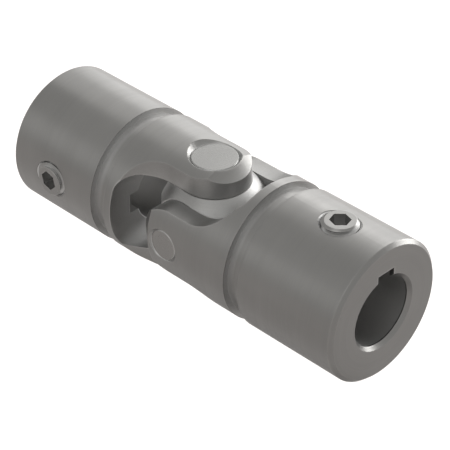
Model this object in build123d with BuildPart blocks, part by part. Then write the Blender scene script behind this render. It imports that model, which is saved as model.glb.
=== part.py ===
from build123d import *
import os

# Single pin-and-block universal joint for keyed shafts, in millimetres.
# The origin is where the two pin axes cross. +X runs along the shafts to the near yoke,
# Z is the axis of the large pin and Y is the axis of the small pin. +Z is up.

# Bar that both yokes are turned from
outside_diameter = 31.75
overall_length = 95.25
end_chamfer = 0.8

# Shaft seat in each hub
bore_diameter = 15.875
bore_chamfer = 0.8
key_width = 4.76
key_seat_height = 10.07

# Fork: a slot between two ears that stand on the hub
slot_width = 19.05
slot_fillet = 4.1
fork_depth = 15.9
ear_width = 15.5
ear_root_fillet = 11.0
ear_root_overrun = 0.3
tip_chamfer_length = 3.5
tip_chamfer_drop = 2.9

# Groove round each hub that a protective boot snaps into
groove_position = 20.1
groove_width = 4.0
groove_depth = 1.35

# Large pin, which turns in the far yoke's ears and is held in the block
large_pin_diameter = 10.3
large_pin_length = 29.95
large_pin_chamfer = 0.2
large_pin_running_gap = 0.04
large_pin_sink_diameter = 12.5

# Small pin, which is staked in the near yoke's ears and turns in the large pin
small_pin_diameter = 7.1
small_pin_length = 30.8
small_pin_chamfer = 0.2
small_pin_running_gap = 0.04
small_pin_sink_diameter = 8.4

# Centre block, a cube turned to a ball
block_side_gap = 0.1
block_ball_diameter = 24.7
block_edge_chamfer = 2.8

# Set screw over each keyway
screw_diameter = 7.94
screw_length = 6.35
screw_proud = 0.65
screw_position = 35.1
screw_thread_gap = 0.04
screw_hole_sink = 0.65
screw_head_chamfer = 0.65
screw_cup_diameter = 4.0
screw_cup_depth = 0.7
socket_across_flats = 3.97
socket_depth = 3.2
socket_turn = 15.0

# Sizes that follow from the ones above
outside_radius = outside_diameter / 2
hub_end = overall_length / 2
ear_radius = ear_width / 2
root_depth = fork_depth + ear_root_overrun
block_width = slot_width - 2 * block_side_gap
large_bore_radius = large_pin_diameter / 2 + large_pin_running_gap
small_bore_radius = small_pin_diameter / 2 + small_pin_running_gap
screw_hole_radius = screw_diameter / 2 + screw_thread_gap
screw_top = outside_radius + screw_proud
screw_foot = screw_top - screw_length

# A yoke is drawn with its hub along +X, its ears on +Z and -Z and its key on +Y.
# These two frames place it: the far hub points to -X, and the near one is a quarter turn on.
far_frame = Plane(origin=(0, 0, 0), x_dir=(-1, 0, 0), z_dir=(0, 0, 1))
near_frame = Plane(origin=(0, 0, 0), x_dir=(1, 0, 0), z_dir=(0, -1, 0))


# The yoke before its pin holes
with BuildPart() as yoke_blank:
    # Turned bar with a cone round the ear tips and the boot groove
    with BuildSketch(Plane.XY) as bar_profile:
        with BuildLine():
            Polyline(
                (-ear_radius, 0),
                (-ear_radius, outside_radius - tip_chamfer_drop),
                (tip_chamfer_length - ear_radius, outside_radius),
                (hub_end, outside_radius),
                (hub_end, 0),
                close=True,
            )
        make_face()
        with Locations((groove_position, outside_radius)):
            Rectangle(groove_width, 2 * groove_depth, mode=Mode.SUBTRACT)
    revolve(axis=Axis.X)

    # Outline of the ears from above: a round tip, straight sides and wide hollows at the root
    with BuildSketch(Plane.XY) as ear_outline:
        with BuildLine():
            tip = CenterArc((0, 0), ear_radius, 180, -90)
            side = Line(tip @ 1, (root_depth - ear_root_fillet, ear_radius))
            root = JernArc(side @ 1, side % 1, ear_root_fillet, 90)
            shoulder = Line(root @ 1, (root_depth, outside_radius + ear_root_fillet))
            over = Line(shoulder @ 1, (hub_end, outside_radius + ear_root_fillet))
            Line(over @ 1, (hub_end, 0))
            mirror(about=Plane.XZ)
        make_face()
    extrude(amount=outside_radius, both=True, mode=Mode.INTERSECT)

    # Slot between the ears, with rounded corners at its floor
    with BuildSketch(Plane.XZ) as slot_outline:
        with Locations((fork_depth, 0)):
            Rectangle(fork_depth + outside_radius, slot_width, align=(Align.MAX, Align.CENTER))
        fillet(slot_outline.vertices().group_by(Axis.X)[-1], slot_fillet)
    extrude(amount=outside_radius, both=True, mode=Mode.SUBTRACT)

    # Shaft bore, chamfered before the keyway is broached through it
    with Locations(Plane.YZ.offset(hub_end)):
        Hole(bore_diameter / 2, depth=hub_end)
    mouth = yoke_blank.faces().sort_by(Axis.X)[-1].edges().sort_by(SortBy.RADIUS)
    chamfer(mouth[0], bore_chamfer)
    rim = yoke_blank.faces().sort_by(Axis.X)[-1].edges().sort_by(SortBy.RADIUS)
    chamfer(rim[-1], end_chamfer)
    with BuildSketch(Plane.YZ) as keyway:
        Rectangle(key_seat_height, key_width, align=(Align.MIN, Align.CENTER))
    extrude(amount=hub_end, mode=Mode.SUBTRACT)

    # Tapped hole over the keyway
    with Locations(Plane(origin=(screw_position, outside_radius, 0), z_dir=(0, 1, 0))):
        CounterSinkHole(screw_hole_radius, screw_hole_radius + screw_hole_sink, depth=outside_radius)


# Far yoke: its ears are bored to run on the large pin
with BuildPart() as far_yoke:
    with Locations(far_frame):
        add(yoke_blank.part)
    for side in (1, -1):
        with Locations(Plane(origin=(0, 0, side * outside_radius), z_dir=(0, 0, side))):
            CounterSinkHole(large_bore_radius, large_pin_sink_diameter / 2, depth=outside_radius)


# Near yoke: its ears hold the small pin tight
with BuildPart() as near_yoke:
    with Locations(near_frame):
        add(yoke_blank.part)
    for side in (1, -1):
        with Locations(Plane(origin=(0, side * outside_radius, 0), z_dir=(0, side, 0))):
            CounterSinkHole(small_pin_diameter / 2, small_pin_sink_diameter / 2, depth=outside_radius)


# Centre block: a cube with its upright edges cut off, turned to a ball and cross-bored
with BuildPart() as center_block:
    with BuildSketch(Plane.XY) as block_outline:
        Rectangle(block_width, block_width)
        chamfer(block_outline.vertices(), block_edge_chamfer)
    extrude(amount=block_width / 2, both=True)
    Sphere(block_ball_diameter / 2, mode=Mode.INTERSECT)
    with Locations(Plane.XY.offset(block_width / 2)):
        Hole(large_pin_diameter / 2, depth=block_width)
    with Locations(Plane.XZ.offset(block_width / 2)):
        Hole(small_bore_radius, depth=block_width)


# Large pin, with the cross hole that the small pin runs through
with BuildPart() as large_pin:
    Cylinder(large_pin_diameter / 2, large_pin_length)
    chamfer(large_pin.edges().filter_by(GeomType.CIRCLE), large_pin_chamfer)
    with Locations(Plane.XZ.offset(large_pin_diameter / 2)):
        Hole(small_bore_radius, depth=large_pin_diameter)


# Small pin
with BuildPart() as small_pin:
    with BuildSketch(Plane.XZ) as small_pin_section:
        Circle(small_pin_diameter / 2)
    extrude(amount=small_pin_length / 2, both=True)
    chamfer(small_pin.edges().filter_by(GeomType.CIRCLE), small_pin_chamfer)


# Set screw, drawn in the yoke's own frame: its cup point ends just above the keyway
with BuildPart() as set_screw:
    with BuildSketch(Plane.XZ.offset(-screw_foot)) as screw_section:
        with Locations((screw_position, 0)):
            Circle(screw_diameter / 2)
    extrude(amount=-screw_length)
    head = set_screw.faces().sort_by(Axis.Y)[-1]
    chamfer(head.edges(), screw_head_chamfer)
    with BuildSketch(Plane.XZ.offset(-screw_top)) as socket:
        with Locations((screw_position, 0)):
            RegularPolygon(socket_across_flats / 2, 6, major_radius=False, rotation=socket_turn)
    extrude(amount=socket_depth, mode=Mode.SUBTRACT)
    with Locations(Plane(origin=(screw_position, screw_foot, 0), z_dir=(0, 1, 0))):
        Cone(
            screw_cup_diameter / 2, 0, screw_cup_depth,
            align=(Align.CENTER, Align.CENTER, Align.MIN), mode=Mode.SUBTRACT,
        )


with BuildPart() as far_set_screw:
    with Locations(far_frame):
        add(set_screw.part)


with BuildPart() as near_set_screw:
    with Locations(near_frame):
        add(set_screw.part)


far_yoke.part.label = "far_yoke"
near_yoke.part.label = "near_yoke"
center_block.part.label = "center_block"
large_pin.part.label = "large_pin"
small_pin.part.label = "small_pin"
far_set_screw.part.label = "far_set_screw"
near_set_screw.part.label = "near_set_screw"

os.makedirs("parts", exist_ok=True)
export_step(far_yoke.part, "parts/far_yoke.step")
export_step(near_yoke.part, "parts/near_yoke.step")
export_step(center_block.part, "parts/center_block.step")
export_step(large_pin.part, "parts/large_pin.step")
export_step(small_pin.part, "parts/small_pin.step")
export_step(far_set_screw.part, "parts/far_set_screw.step")
export_step(near_set_screw.part, "parts/near_set_screw.step")
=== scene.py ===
"""Universal joint for keyed shafts: steel finishes, threaded set screws, studio and camera.

Sizes in the classes are millimetres in the joint's own frame, apart from those of the lamps,
which are metres. X runs along the shafts, Y along the small pin and Z along the large pin,
with +Z up.
"""

import logging
import math
from dataclasses import dataclass
from enum import Enum

import bmesh
import bpy
from mathutils import Matrix, Vector

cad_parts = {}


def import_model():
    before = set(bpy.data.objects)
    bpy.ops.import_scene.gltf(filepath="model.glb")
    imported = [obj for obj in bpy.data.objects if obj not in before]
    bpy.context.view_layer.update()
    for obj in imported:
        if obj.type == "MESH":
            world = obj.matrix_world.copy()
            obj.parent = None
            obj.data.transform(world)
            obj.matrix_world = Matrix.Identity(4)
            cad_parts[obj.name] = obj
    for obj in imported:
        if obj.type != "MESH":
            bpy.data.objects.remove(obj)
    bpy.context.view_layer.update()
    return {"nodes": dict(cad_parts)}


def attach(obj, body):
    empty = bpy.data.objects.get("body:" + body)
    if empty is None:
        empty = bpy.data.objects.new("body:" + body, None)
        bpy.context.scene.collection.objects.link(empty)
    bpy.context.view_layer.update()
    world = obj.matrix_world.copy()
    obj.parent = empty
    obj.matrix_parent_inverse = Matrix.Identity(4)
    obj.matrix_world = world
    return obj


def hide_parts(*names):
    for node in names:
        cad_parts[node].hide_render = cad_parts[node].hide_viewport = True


MM = 0.001
log = logging.getLogger("universal_joint")

Triple = tuple[float, float, float]
Span = tuple[float, float]
Socket = bpy.types.NodeSocket

# Sockets that a Mix node uses for colours: the share, the two colours and the result
MIX_INPUTS = (0, 6, 7)
MIX_RESULT = 2

# Limits that stretch a noise pattern, most of whose values lie between 0.3 and 0.7
NOISE_SPREAD = (0.3, 0.7)
WIDE_SPREAD = (0.25, 0.75)
PATCH_SPREAD = (0.35, 0.7)
WEAR_SPREAD = (0.3, 0.65)

# How open a point is where the share of an edge, inner corner or hollow starts to fade from 1,
# and where it reaches 0
EDGE_FADE = (0.45, 0.92)
CORNER_FADE = (0.35, 0.9)
HOLLOW_FADE = (0.25, 0.9)
FADING = (1.0, 0.0)

# Distances under which two points count as one, in millimetres
WELD = 0.001
HAIR = 0.0001


def in_metres(point: Triple) -> Vector:
    """Turns a point in millimetres into a vector in metres."""
    return Vector(point) * MM


def direction(bearing: float, height: float) -> Vector:
    """Points from the joint towards a lamp or camera.

    Args:
        bearing: degrees from +X towards +Y.
        height: degrees above the shafts.

    Returns:
        A vector one unit long.
    """
    bearing, height = math.radians(bearing), math.radians(height)
    return Vector((
        math.cos(bearing) * math.cos(height),
        math.sin(bearing) * math.cos(height),
        math.sin(height),
    ))


class LatheAxis(Enum):
    """Axis that a piece was turned or ground about, as the turn that brings it to X."""

    X = (0.0, 0.0, 0.0)
    Y = (0.0, 0.0, -math.pi / 2)
    Z = (0.0, math.pi / 2, 0.0)


class Wiring:
    """Adds and joins the nodes of one material or world."""

    def __init__(self, tree: bpy.types.NodeTree) -> None:
        """Starts from an empty tree."""
        self.tree = tree
        self.tree.nodes.clear()

    def add(self, kind: str, **settings: object) -> bpy.types.Node:
        """Adds one node.

        Args:
            kind: Blender's name for the node type.
            settings: attributes of the node, such as operation or data_type.

        Returns:
            The new node.
        """
        node = self.tree.nodes.new(kind)
        for key, value in settings.items():
            setattr(node, key, value)
        return node

    def feed(self, socket: Socket, value: object) -> None:
        """Joins a socket to another one, or sets it to a plain value.

        Args:
            socket: the input that is fed.
            value: an output socket, a number or a tuple.
        """
        if isinstance(value, Socket):
            self.tree.links.new(value, socket)
        else:
            socket.default_value = value

    def calc(self, operation: str, *values: object) -> Socket:
        """Works out one step of arithmetic.

        Args:
            operation: the Math node's operation.
            values: its inputs, each a socket or a number.

        Returns:
            The result.
        """
        node = self.add("ShaderNodeMath", operation=operation)
        for socket, value in zip(node.inputs, values):
            self.feed(socket, value)
        return node.outputs[0]

    def times(self, first: object, second: object) -> Socket:
        """Multiplies two values, each a socket or a number."""
        return self.calc("MULTIPLY", first, second)

    def ramp(self, value: object, given: Span, wanted: Span) -> Socket:
        """Maps a value from one range to another, held at the ends.

        Args:
            value: the socket that is mapped.
            given: start and end of its own range.
            wanted: results at that start and end.

        Returns:
            The mapped value.
        """
        node = self.add("ShaderNodeMapRange", clamp=True)
        for socket, part in zip(node.inputs, (value, *given, *wanted)):
            self.feed(socket, part)
        return node.outputs[0]

    def blend(self, share: object, first: object, second: object) -> Socket:
        """Mixes two colours.

        Args:
            share: how much of the second there is, a socket or a number.
            first: a colour socket or four numbers.
            second: a colour socket or four numbers.

        Returns:
            The mixed colour.
        """
        node = self.add("ShaderNodeMix", data_type="RGBA")
        for place, part in zip(MIX_INPUTS, (share, first, second)):
            self.feed(node.inputs[place], part)
        return node.outputs[MIX_RESULT]

    def noise(self, vector: object, scale: float, detail: float, roughness: float = 0.5) -> Socket:
        """Adds a noise pattern.

        Args:
            vector: where it is read, in metres.
            scale: patches to the metre.
            detail: how many finer layers it has.
            roughness: how strong the finer layers are.

        Returns:
            Its value, from 0 to 1.
        """
        node = self.add("ShaderNodeTexNoise")
        parts = {"Vector": vector, "Scale": scale, "Detail": detail, "Roughness": roughness}
        for key, part in parts.items():
            self.feed(node.inputs[key], part)
        return node.outputs[0]

    def openness(self, reach: float, samples: int, **settings: object) -> Socket:
        """Measures how open a point is.

        Args:
            reach: how far round the point metal counts, in millimetres.
            samples: rays that are sent out from it.
            settings: attributes of the node, such as inside.

        Returns:
            1 where nothing is near, down to 0 where the point is closed in.
        """
        node = self.add("ShaderNodeAmbientOcclusion", samples=samples, **settings)
        node.inputs["Distance"].default_value = reach * MM
        return node.outputs["AO"]


@dataclass
class Layers:
    """What a finish is mixed from at each point: shares from 0 to 1, and the edges' rounding."""

    marks: Socket
    patches: Socket
    worn_and_highlit: Socket
    darkened_corners: Socket
    painted_fill: Socket
    rounding: object


@dataclass(frozen=True)
class HubZones:
    """Zones that a hub's finish is laid out by, as distances from the pins and from the axis.

    The groove, the bore and the screw hole are bands, each its middle and half its width, and they get
    painted fill light.
    """

    groove_fade: Span
    groove_fill: Span
    groove: Span = (20.1, 2.5)
    trough_radius: float = 15.1
    bore: Span = (31.4, 15.1)
    bore_fill: float = 0.56
    wall_radius: float = 11.0
    screw_hole: Span = (35.1, 5.2)
    fork_reach: float = 16.3
    skin_radius: float = 15.75
    shelter: Span = (0.0, 0.5)
    sheltered_wear: float = 0.1

    def limit(self, nodes: Wiring, along: Socket, radius: Socket, layers: Layers) -> None:
        """Keeps wear and painted edge highlight, corner darkening and rounded edges out of the groove, and
        the painted fill light to the fork, the groove and the holes.

        Args:
            nodes: the material's nodes.
            along: distance along the shafts.
            radius: distance from their axis.
            layers: the hub's layers, which are changed.
        """
        away = nodes.calc("ABSOLUTE", along)
        wall = nodes.calc("GREATER_THAN", radius, self.wall_radius * MM)
        groove = nodes.times(wall, self._band(nodes, away, self.groove))
        holes = self._holes(nodes, away, wall)

        sheltered = nodes.calc("MAXIMUM", groove, holes)
        wear_left = nodes.ramp(sheltered, self.shelter, (1.0, self.sheltered_wear))
        layers.worn_and_highlit = nodes.times(layers.worn_and_highlit, wear_left)
        trough = nodes.times(groove, nodes.calc("LESS_THAN", radius, self.trough_radius * MM))
        open_face = nodes.calc("SUBTRACT", 1.0, trough)
        layers.darkened_corners = nodes.times(layers.darkened_corners, open_face)
        layers.rounding = nodes.times(open_face, layers.rounding)

        # Painted fill light: the fork's hollows, the groove and the holes are lightened where their walls
        # shut out light.
        fork = nodes.calc("LESS_THAN", away, self.fork_reach * MM)
        under_skin = nodes.calc("LESS_THAN", radius, self.skin_radius * MM)
        hollows = nodes.times(layers.painted_fill, fork)
        cut = nodes.calc("MAXIMUM", self._groove_fill(nodes, away, groove), holes)
        layers.painted_fill = nodes.times(under_skin, nodes.calc("MAXIMUM", hollows, cut))

    @staticmethod
    def _band(nodes: Wiring, away: Socket, band: Span) -> Socket:
        """Marks a band with 1, on both sides of the pins."""
        middle, half_width = band
        return nodes.calc("COMPARE", away, middle * MM, half_width * MM)

    def _groove_fill(self, nodes: Wiring, away: Socket, groove: Socket) -> Socket:
        """Paints fill light into the boot groove, which fades from one wall to the other and stands in for
        light that its walls shut out.
        """
        start, end = self.groove_fade
        return nodes.times(groove, nodes.ramp(away, (start * MM, end * MM), self.groove_fill))

    def _holes(self, nodes: Wiring, away: Socket, wall: Socket) -> Socket:
        """Marks the reamed bore with its keyway, and the screw hole in the wall round it.

        Args:
            nodes: the material's nodes.
            away: distance from the pins.
            wall: 1 in the hub's wall and 0 in the bore.

        Returns:
            The share of painted fill light in the holes, and 0 elsewhere.
        """
        bore = nodes.times(self._band(nodes, away, self.bore), self.bore_fill)
        inside = nodes.times(bore, nodes.calc("SUBTRACT", 1.0, wall))
        return nodes.calc("MULTIPLY_ADD", wall, self._band(nodes, away, self.screw_hole), inside)


@dataclass(frozen=True)
class SteelFinish:
    """Bare steel that was turned or ground, with edges lightened as wear and painted highlight, darkened
    inner corners, and hollows lightened with painted fill light.

    Each tone is a factor on the colour, and each share says how strongly a layer shows.
    """

    name: str
    colour: Triple
    roughness: float
    lathe_axis: LatheAxis = LatheAxis.X
    centre: Triple = (0.0, 0.0, 0.0)
    zones: HubZones | None = None
    roughness_spread: float = 0.05
    edge_tint: float = 0.93
    mark_pitch: float = 0.22
    mark_height: float = 0.002
    mark_drift: float = 0.02
    fine_share: float = 0.6
    broad_scale: float = 0.12
    streak_share: float = 0.5
    streak_tone: float = 0.86
    patches_to_the_metre: float = 90.0
    patch_share: float = 0.25
    patch_tone: float = 1.22
    edge_round: float = 0.2
    edge_width: float = 0.5
    # Outer edges are lightened, partly as wear and partly as painted highlight.
    edge_wear_and_highlight: float = 0.45
    worn_highlight_tone: float = 1.8
    patchy_wear: Span = (0.4, 1.0)
    corner_width: float = 1.2
    corner_darkening: float = 0.12
    corner_tone: float = 0.55
    # Hollows are lightened with painted fill light, which stands in for light that the metal round them
    # shuts out.
    cavity_depth: float = 14.0
    cavity_fill: float = 0.7
    cavity_fill_lift: float = 0.45
    cavity_roughness: float = 0.3
    edge_rays: int = 6
    cavity_rays: int = 8

    def material(self) -> bpy.types.Material:
        """Builds the finish as a node material on Object coordinates.

        Returns:
            The material.
        """
        steel = bpy.data.materials.new(self.name)
        steel.use_nodes = True
        nodes = Wiring(steel.node_tree)
        place = nodes.add("ShaderNodeTexCoord").outputs["Object"]
        along, radius, drift = self._lathe_place(nodes, place)
        patches = nodes.noise(place, self.patches_to_the_metre, detail=3.0)
        layers = Layers(
            marks=self._tool_marks(nodes, along, radius, drift),
            patches=patches,
            worn_and_highlit=self._worn_highlit_edges(nodes, patches),
            darkened_corners=self._inner_corners(nodes),
            painted_fill=self._painted_fill_in_hollows(nodes),
            rounding=self.edge_round * MM,
        )
        if self.zones is not None:
            self.zones.limit(nodes, along, radius, layers)

        shader = nodes.add("ShaderNodeBsdfPrincipled")
        shader.inputs["Metallic"].default_value = 1.0
        shader.inputs["Specular Tint"].default_value = (*(self.edge_tint,) * 3, 1.0)
        nodes.feed(shader.inputs["Base Color"], self._mixed_colour(nodes, layers))
        nodes.feed(shader.inputs["Roughness"], self._mixed_roughness(nodes, layers))
        nodes.feed(shader.inputs["Normal"], self._relief(nodes, layers))
        nodes.feed(nodes.add("ShaderNodeOutputMaterial").inputs["Surface"], shader.outputs[0])
        return steel

    def _lathe_place(self, nodes: Wiring, place: Socket) -> tuple[Socket, Socket, Socket]:
        """Turns coordinates into the ones that a lathe works in.

        Args:
            nodes: the material's nodes.
            place: Object coordinates.

        Returns:
            The distance along the axis, the radius, and a value that drifts slowly round the axis.
        """
        mapping = nodes.add("ShaderNodeMapping", vector_type="TEXTURE")
        nodes.feed(mapping.inputs["Vector"], place)
        nodes.feed(mapping.inputs["Location"], in_metres(self.centre))
        nodes.feed(mapping.inputs["Rotation"], self.lathe_axis.value)
        split = nodes.add("ShaderNodeSeparateXYZ")
        nodes.feed(split.inputs[0], mapping.outputs[0])
        along, across, height = split.outputs
        squares = nodes.calc("ADD", nodes.times(across, across), nodes.times(height, height))
        drift = nodes.times(nodes.calc("ADD", across, height), self.mark_drift)
        return along, nodes.calc("SQRT", squares), drift

    def _tool_marks(self, nodes: Wiring, *place: Socket) -> Socket:
        """Draws rings round the lathe axis on sides and circles on faces.

        Args:
            nodes: the material's nodes.
            place: the three values that the lathe works in.

        Returns:
            The strength of the marks, from 0 to 1.
        """
        join = nodes.add("ShaderNodeCombineXYZ")
        for socket, part in zip(join.inputs, place):
            nodes.feed(socket, part)
        pitch = self.mark_pitch * MM
        fine = nodes.noise(join.outputs[0], 1.0 / pitch, detail=4.0, roughness=0.6)
        broad = nodes.noise(join.outputs[0], self.broad_scale / pitch, detail=2.0)
        broad_part = nodes.times(broad, 1 - self.fine_share)
        return nodes.calc("ADD", nodes.times(fine, self.fine_share), broad_part)

    def _worn_highlit_edges(self, nodes: Wiring, patches: Socket) -> Socket:
        """Finds outer edges, which are lightened as wear from handling and as painted highlight.

        Args:
            nodes: the material's nodes.
            patches: slow variation that breaks the wear up.

        Returns:
            The share of wear and painted highlight, from 0 to 1.
        """
        inward = nodes.openness(self.edge_width, self.edge_rays, inside=True, only_local=True)
        edge = nodes.ramp(inward, EDGE_FADE, FADING)
        return nodes.times(edge, nodes.ramp(patches, WEAR_SPREAD, self.patchy_wear))

    def _inner_corners(self, nodes: Wiring) -> Socket:
        """Finds inner corners, which are darkened."""
        outward = nodes.openness(self.corner_width, self.edge_rays, only_local=True)
        return nodes.ramp(outward, CORNER_FADE, FADING)

    def _painted_fill_in_hollows(self, nodes: Wiring) -> Socket:
        """Finds hollows and lightens them with painted fill light, which stands in for light that the metal
        round them shuts out.
        """
        hollow = nodes.ramp(nodes.openness(self.cavity_depth, self.cavity_rays), HOLLOW_FADE, FADING)
        return nodes.times(hollow, self.cavity_fill)

    def _tone(self, factor: float = 1.0, lift: float = 0.0) -> tuple[float, ...]:
        """Gives the colour made darker or lighter, with full alpha."""
        return (*(part * factor + lift for part in self.colour), 1.0)

    def _mixed_colour(self, nodes: Wiring, layers: Layers) -> Socket:
        """Lays streaks, patches, painted fill light in hollows, worn and painted-highlit edges and darkened
        corners over the plain colour.

        Args:
            nodes: the material's nodes.
            layers: where each of them shows.

        Returns:
            The colour.
        """
        streaks = nodes.ramp(layers.marks, NOISE_SPREAD, (0.0, self.streak_share))
        patches = nodes.ramp(layers.patches, PATCH_SPREAD, (0.0, self.patch_share))
        colour = self._tone()
        for share, tone in (
            (streaks, self._tone(self.streak_tone)),
            (patches, self._tone(self.patch_tone)),
            # Painted fill light in hollows, edges lightened as wear and painted highlight, and darkened
            # corners
            (layers.painted_fill, self._tone(lift=self.cavity_fill_lift)),
            (nodes.times(layers.worn_and_highlit, self.edge_wear_and_highlight), self._tone(self.worn_highlight_tone)),
            (nodes.times(layers.darkened_corners, self.corner_darkening), self._tone(self.corner_tone)),
        ):
            colour = nodes.blend(share, colour, tone)
        return colour

    def _mixed_roughness(self, nodes: Wiring, layers: Layers) -> Socket:
        """Varies the roughness with the marks and patches, and raises it where fill light is painted into
        hollows.

        Args:
            nodes: the material's nodes.
            layers: where the marks, patches and painted fill light show.

        Returns:
            The roughness.
        """
        low, high = self.roughness - self.roughness_spread, self.roughness + self.roughness_spread
        half_spread = 0.5 * self.roughness_spread
        marked = nodes.ramp(layers.marks, WIDE_SPREAD, (low, high))
        patchy = nodes.ramp(layers.patches, NOISE_SPREAD, (-half_spread, half_spread))
        painted_fill = nodes.times(layers.painted_fill, self.cavity_roughness)
        return nodes.calc("ADD", nodes.calc("ADD", marked, patchy), painted_fill)

    def _relief(self, nodes: Wiring, layers: Layers) -> Socket:
        """Breaks the edges with a small round and lays the tool marks on top.

        Args:
            nodes: the material's nodes.
            layers: the rounding and the marks.

        Returns:
            The normal.
        """
        edge = nodes.add("ShaderNodeBevel", samples=self.edge_rays)
        nodes.feed(edge.inputs["Radius"], layers.rounding)
        relief = nodes.add("ShaderNodeBump")
        relief.inputs["Strength"].default_value = 1.0
        relief.inputs["Distance"].default_value = self.mark_height * MM
        nodes.feed(relief.inputs["Height"], layers.marks)
        nodes.feed(relief.inputs["Normal"], edge.outputs[0])
        return relief.outputs[0]


def dress_solid(solid: bpy.types.Object, finish: SteelFinish) -> None:
    """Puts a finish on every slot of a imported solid.

    Args:
        solid: the solid's object.
        finish: the finish it gets.
    """
    material = finish.material()
    for place in solid.material_slots:
        place.material = material
    log.info("%s is finished as %s", solid.name, finish.name)


@dataclass(frozen=True)
class Yoke:
    """One forked hub, which keeps the shape of its solid."""

    node: str
    finish: SteelFinish

    def dress(self, nodes: dict[str, bpy.types.Object]) -> None:
        """Gives the solid its finish."""
        dress_solid(nodes[self.node], self.finish)


@dataclass(frozen=True)
class Cross:
    """The centre block and the two pins that cross in it, which keep the shape of their solids."""

    block: SteelFinish = SteelFinish(
        "block turned steel", (0.175, 0.172, 0.166), 0.4, lathe_axis=LatheAxis.Z, mark_height=0.004,
    )
    large_pin: SteelFinish = SteelFinish(
        "large pin ground steel", (0.198, 0.196, 0.19), 0.28,
        lathe_axis=LatheAxis.Z, mark_pitch=0.12, mark_height=0.0008,
    )
    small_pin: SteelFinish = SteelFinish(
        "small pin ground steel", (0.19, 0.185, 0.178), 0.28,
        lathe_axis=LatheAxis.Y, mark_pitch=0.12, mark_height=0.0008,
    )

    def dress(self, nodes: dict[str, bpy.types.Object]) -> None:
        """Gives the three solids their finishes.

        Args:
            nodes: the solids' objects by name.
        """
        dress_solid(nodes["center_block"], self.block)
        dress_solid(nodes["large_pin"], self.large_pin)
        dress_solid(nodes["small_pin"], self.small_pin)


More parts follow.
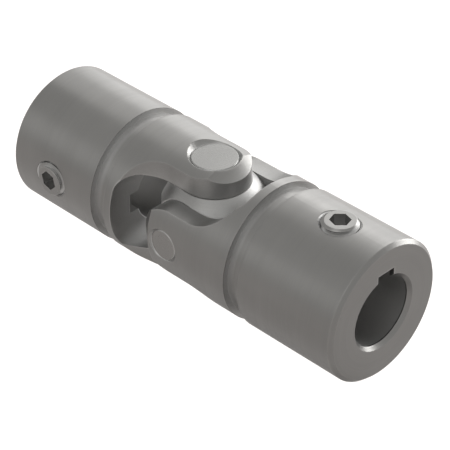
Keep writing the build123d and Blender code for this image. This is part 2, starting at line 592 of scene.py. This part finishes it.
@dataclass(frozen=True)
class SetScrew:
    """Hex socket set screw with a cup point, drawn with its axis on Z and its foot at the origin."""

    name: str
    body: str
    axis: Triple
    hub_side: float
    finish: SteelFinish
    diameter: float = 7.94
    length: float = 6.35
    foot_height: float = 10.175
    position: float = 35.1
    pitch: float = 1.411
    thread_height: float = 0.76
    crest_width: float = 0.18
    flank_angle: float = 30.0
    head_chamfer: float = 0.65
    point_chamfer: float = 0.9
    cup_diameter: float = 4.0
    cup_depth: float = 0.7
    socket_width: float = 3.97
    socket_depth: float = 3.2
    socket_turn: float = 75.0
    blank_play: float = 0.02
    overrun: float = 0.5
    turns_below: int = 2
    steps_to_the_turn: int = 60
    blank_sides: int = 96
    cup_sides: int = 48
    sharp_angle: float = 28.0

    def build(self) -> bpy.types.Object:
        """Cuts the thread, the two chamfers, the socket and the cup.

        Returns:
            The finished screw in its place.
        """
        screw = self._cut(self._threaded_rod(), self._blank(), "INTERSECT")
        screw = self._cut(screw, self._socket(), "DIFFERENCE")
        screw = self._cut(screw, self._cup(), "DIFFERENCE")
        screw.name = self.name
        screw.data.name = self.name
        screw.data.transform(self._place())
        screw.data.materials.clear()
        screw.data.materials.append(self.finish.material())
        for face in screw.data.polygons:
            face.use_smooth = True
            face.material_index = 0
        screw.data.set_sharp_from_angle(angle=math.radians(self.sharp_angle))
        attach(screw, self.body)
        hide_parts(self.body)
        return screw

    def _place(self) -> Matrix:
        """Works out where the screw goes.

        Returns:
            The matrix from the screw's own axis to its hole, in metres.
        """
        turn = Vector((0, 0, 1)).rotation_difference(Vector(self.axis)).to_matrix().to_4x4()
        foot = Vector(self.axis) * self.foot_height + Vector((self.hub_side * self.position, 0, 0))
        return Matrix.Translation(foot * MM) @ turn @ Matrix.Scale(MM, 4)

    def _threaded_rod(self) -> bpy.types.Object:
        """Sweeps one thread form up a helix, past both ends of the screw.

        Returns:
            A closed rod, in millimetres.
        """
        crest = self.diameter / 2
        root = crest - self.thread_height
        flank = self.thread_height * math.tan(math.radians(self.flank_angle))
        flat = (self.pitch - self.crest_width - 2 * flank) / 2
        outline = (
            (root, 0),
            (root, flat),
            (crest, flat + flank),
            (crest, flat + flank + self.crest_width),
            (root, self.pitch - flat),
            (root, self.pitch),
        )
        form = bmesh.new()
        points = [form.verts.new((r, 0, z - self.turns_below * self.pitch)) for r, z in outline]
        edges = [form.edges.new(pair) for pair in zip(points, points[1:])]
        turns = math.ceil(self.length / self.pitch) + self.turns_below + 1
        bmesh.ops.spin(
            form,
            geom=points + edges,
            cent=(0, 0, 0),
            axis=(0, 0, 1),
            dvec=(0, 0, self.pitch / self.steps_to_the_turn),
            angle=2 * math.pi * turns,
            steps=self.steps_to_the_turn * turns,
            use_duplicate=False,
        )
        bmesh.ops.remove_doubles(form, verts=form.verts, dist=WELD)
        for height, normal in ((-self.overrun, (0, 0, -1)), (self.length + self.overrun, (0, 0, 1))):
            bmesh.ops.bisect_plane(
                form,
                geom=form.verts[:] + form.edges[:] + form.faces[:],
                dist=HAIR,
                plane_co=(0, 0, height),
                plane_no=normal,
                clear_outer=True,
            )
        bmesh.ops.holes_fill(form, edges=[edge for edge in form.edges if edge.is_boundary])
        return self._solid("rod", form)

    def _blank(self) -> bpy.types.Object:
        """Makes the blank that the thread is cut on, with a chamfer at each end.

        Returns:
            A closed cylinder, in millimetres.
        """
        radius = self.diameter / 2 + self.blank_play
        form = bmesh.new()
        bmesh.ops.create_cone(
            form, cap_ends=True, segments=self.blank_sides, radius1=radius, radius2=radius,
            depth=self.length, matrix=Matrix.Translation((0, 0, self.length / 2)),
        )
        for height, cut in ((self.length, self.head_chamfer), (0.0, self.point_chamfer)):
            rim = [edge for edge in form.edges if all(abs(v.co.z - height) < WELD for v in edge.verts)]
            bmesh.ops.bevel(
                form, geom=rim, offset=cut, affect="EDGES", segments=1, profile=0.5, material=-1,
            )
        return self._solid("blank", form)

    def _socket(self) -> bpy.types.Object:
        """Makes the hex key's hole, which stands past the head.

        Returns:
            A closed hexagon prism, in millimetres.
        """
        corner = self.socket_width / math.sqrt(3)
        middle = self.length - self.socket_depth / 2 + self.overrun
        turn = Matrix.Rotation(math.radians(self.socket_turn), 4, "Z")
        form = bmesh.new()
        bmesh.ops.create_cone(
            form, cap_ends=True, segments=6, radius1=corner, radius2=corner,
            depth=self.socket_depth + 2 * self.overrun, matrix=Matrix.Translation((0, 0, middle)) @ turn,
        )
        return self._solid("socket", form)

    def _cup(self) -> bpy.types.Object:
        """Makes the cone that is sunk in the point, half of it below the foot.

        Returns:
            A closed cone, in millimetres.
        """
        form = bmesh.new()
        bmesh.ops.create_cone(
            form, cap_ends=True, segments=self.cup_sides, radius1=self.cup_diameter, radius2=0.0,
            depth=2 * self.cup_depth,
        )
        return self._solid("cup", form)

    @staticmethod
    def _solid(name: str, form: bmesh.types.BMesh) -> bpy.types.Object:
        """Turns a finished bmesh into an object with outward faces.

        Args:
            name: name of the object.
            form: the shape, which is freed.

        Returns:
            The new object, linked to the scene.
        """
        bmesh.ops.recalc_face_normals(form, faces=form.faces)
        mesh = bpy.data.meshes.new(name)
        form.to_mesh(mesh)
        form.free()
        solid = bpy.data.objects.new(name, mesh)
        bpy.context.scene.collection.objects.link(solid)
        return solid

    @staticmethod
    def _cut(piece: bpy.types.Object, tool: bpy.types.Object, operation: str) -> bpy.types.Object:
        """Cuts one solid with another and keeps the result alone.

        Args:
            piece: the solid that is cut, which is used up.
            tool: the solid that cuts, which is used up.
            operation: the Boolean modifier's operation.

        Returns:
            A new object with the cut mesh.
        """
        cutting = piece.modifiers.new("cut", "BOOLEAN")
        cutting.operation = operation
        cutting.object = tool
        cutting.solver = "EXACT"
        view = bpy.context.evaluated_depsgraph_get()
        mesh = bpy.data.meshes.new_from_object(piece.evaluated_get(view))
        result = bpy.data.objects.new(piece.name, mesh)
        bpy.context.scene.collection.objects.link(result)
        for used in (piece, tool):
            bpy.data.objects.remove(used)
        return result


@dataclass(frozen=True)
class SoftBox:
    """A rectangular lamp that faces the joint, with its angles in degrees and its sizes in metres."""

    name: str
    bearing: float
    height: float
    width: float
    tall: float
    distance: float
    brightness: float

    def build(self) -> bpy.types.Object:
        """Hangs the lamp so that it faces the joint.

        Returns:
            The lamp.
        """
        lamp = bpy.data.lights.new(self.name, "AREA")
        lamp.shape = "RECTANGLE"
        lamp.size = self.width
        lamp.size_y = self.tall
        lamp.energy = self.brightness * math.pi * self.width * self.tall
        box = bpy.data.objects.new(self.name, lamp)
        towards = direction(self.bearing, self.height)
        box.location = towards * self.distance
        box.rotation_euler = (-towards).to_track_quat("-Z", "Y").to_euler()
        box.visible_camera = False
        bpy.context.scene.collection.objects.link(box)
        return box


@dataclass(frozen=True)
class Studio:
    """Pale floor clear of the joint's swing, an even pale surround and soft lamps round the joint.

    The floor shows its full glow to the camera. In the metal's mirror image the glow fades out under the
    joint as a painted shadow, between the two distances of the sheen's fade from the joint's middle plane.
    """

    floor_height: float = -42.0
    floor_side: float = 4000.0
    floor_shade: Triple = (0.5, 0.481, 0.474)
    floor_tint: Triple = (1.0, 0.975, 0.965)
    floor_glow: float = 0.58
    floor_sheen: float = 0.36
    sheen_shadow_fade: Span = (5.0, 23.0)
    surround: Triple = (0.97, 0.97, 0.96)
    # name, bearing, height, width, tall, distance and brightness
    lamps: tuple[SoftBox, ...] = (
        SoftBox("back right box", 80.0, 9.0, 0.43, 0.43, 0.62, 6.0),
        SoftBox("low back box", 115.0, 12.0, 0.47, 0.40, 0.62, 1.55),
        SoftBox("high back box", 138.0, 38.0, 0.44, 0.44, 0.62, 0.8),
        SoftBox("small back box", 119.0, 34.0, 0.12, 0.16, 0.374, 1.2),
        SoftBox("front box", -76.0, 47.0, 0.34, 0.38, 0.62, 0.9),
        SoftBox("left fill", -133.0, 20.0, 0.36, 0.24, 0.62, 0.35),
    )

    def build(self) -> None:
        """Lays the floor, hangs the lamps, paints the surround and sets plain colours."""
        bpy.context.scene.view_settings.view_transform = "Standard"
        self._floor()
        for lamp in self.lamps:
            lamp.build()
        world = bpy.data.worlds.new("pale surround")
        world.use_nodes = True
        bpy.context.scene.world = world
        nodes = Wiring(world.node_tree)
        sky = nodes.add("ShaderNodeBackground")
        sky.inputs["Color"].default_value = (*self.surround, 1.0)
        nodes.feed(nodes.add("ShaderNodeOutputWorld").inputs["Surface"], sky.outputs[0])

    def _floor(self) -> bpy.types.Object:
        """Lays a wide flat floor.

        Returns:
            The floor.
        """
        form = bmesh.new()
        bmesh.ops.create_grid(
            form, x_segments=2, y_segments=2, size=self.floor_side * MM / 2,
            matrix=Matrix.Translation((0, 0, self.floor_height * MM)),
        )
        mesh = bpy.data.meshes.new("studio_floor")
        form.to_mesh(mesh)
        form.free()
        floor = bpy.data.objects.new("studio_floor", mesh)
        bpy.context.scene.collection.objects.link(floor)
        mesh.materials.append(self._floor_paint())
        return floor

    def _floor_paint(self) -> bpy.types.Material:
        """Mixes a paint that looks white, keeps the joint's shadow, and holds a painted shadow under the
        joint in reflections.

        Returns:
            The paint.
        """
        paint = bpy.data.materials.new("studio floor")
        paint.use_nodes = True
        nodes = Wiring(paint.node_tree)
        matt = nodes.add("ShaderNodeBsdfDiffuse")
        matt.inputs["Color"].default_value = (*self.floor_shade, 1.0)

        split = nodes.add("ShaderNodeSeparateXYZ")
        nodes.feed(split.inputs[0], nodes.add("ShaderNodeTexCoord").outputs["Object"])
        # Painted shadow: the glow that the metal mirrors fades out under the joint.
        start, full = (distance * MM for distance in self.sheen_shadow_fade)
        away = nodes.calc("ABSOLUTE", split.outputs["Y"])
        sheen = nodes.ramp(away, (start, full), (0.0, self.floor_sheen))
        rays = nodes.add("ShaderNodeLightPath")
        mirrored = nodes.calc("MAXIMUM", rays.outputs["Is Glossy Ray"], rays.outputs["Is Transmission Ray"])
        direct = nodes.times(rays.outputs["Is Camera Ray"], self.floor_glow)
        glow = nodes.add("ShaderNodeEmission")
        glow.inputs["Color"].default_value = (*self.floor_tint, 1.0)
        nodes.feed(glow.inputs["Strength"], nodes.calc("MULTIPLY_ADD", mirrored, sheen, direct))

        both = nodes.add("ShaderNodeAddShader")
        nodes.feed(both.inputs[0], matt.outputs[0])
        nodes.feed(both.inputs[1], glow.outputs[0])
        nodes.feed(nodes.add("ShaderNodeOutputMaterial").inputs["Surface"], both.outputs[0])
        return paint


@dataclass(frozen=True)
class ProductCamera:
    """Camera that looks down on the joint from its front right corner."""

    bearing: float = -45.0
    height: float = 35.264
    distance: float = 417.56
    lens: float = 156.49
    sensor: float = 36.0
    shift: Span = (0.02216, -0.0216)
    clip: Span = (10.0, 20000.0)

    def build(self) -> bpy.types.Object:
        """Sets the camera up and makes it the scene's own.

        Returns:
            The camera.
        """
        data = bpy.data.cameras.new("product camera")
        data.sensor_width = self.sensor
        data.lens = self.lens
        data.shift_x, data.shift_y = self.shift
        data.clip_start, data.clip_end = (limit * MM for limit in self.clip)
        camera = bpy.data.objects.new("product camera", data)
        back = direction(self.bearing, self.height)
        camera.location = back * self.distance * MM
        camera.rotation_euler = (-back).to_track_quat("-Z", "Y").to_euler()
        bpy.context.scene.collection.objects.link(camera)
        bpy.context.scene.camera = camera
        return camera


def main() -> None:
    """Loads the solids, dresses them, cuts the set screws and sets up the studio."""
    logging.basicConfig(level=logging.INFO, format="%(name)s: %(message)s")
    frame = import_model()

    # Each hub's hollows get painted fill light, by its own share and reach.
    for side, fill_share, depth, zones in (
        ("far", 0.8, 14.0, HubZones(groove_fade=(20.0, 22.1), groove_fill=(0.02, 0.6))),
        ("near", 0.9, 20.0, HubZones(groove_fade=(18.1, 19.8), groove_fill=(0.52, 0.0))),
    ):
        finish = SteelFinish(
            f"{side} hub turned steel", (0.178, 0.175, 0.169), 0.33, zones=zones,
            edge_round=0.22, edge_wear_and_highlight=0.85, cavity_fill=fill_share, cavity_depth=depth,
        )
        Yoke(f"{side}_yoke", finish).dress(frame["nodes"])
    Cross().dress(frame["nodes"])
    for side, hub_side, axis, lathe_axis in (
        ("far", -1.0, (0.0, -1.0, 0.0), LatheAxis.Y),
        ("near", 1.0, (0.0, 0.0, 1.0), LatheAxis.Z),
    ):
        # The screws' sockets get painted fill light as well.
        finish = SteelFinish(
            f"{side} set screw steel", (0.185, 0.182, 0.176), 0.3,
            lathe_axis=lathe_axis, centre=(hub_side * SetScrew.position, 0.0, 0.0),
            mark_pitch=0.12, edge_round=0.1, edge_width=0.25, cavity_fill=0.55,
        )
        screw = SetScrew(f"{side}_threaded_set_screw", f"{side}_set_screw", axis, hub_side, finish).build()
        log.info("%s has %d faces", screw.name, len(screw.data.polygons))

    Studio().build()
    ProductCamera().build()


if __name__ == "__main__":
    main()
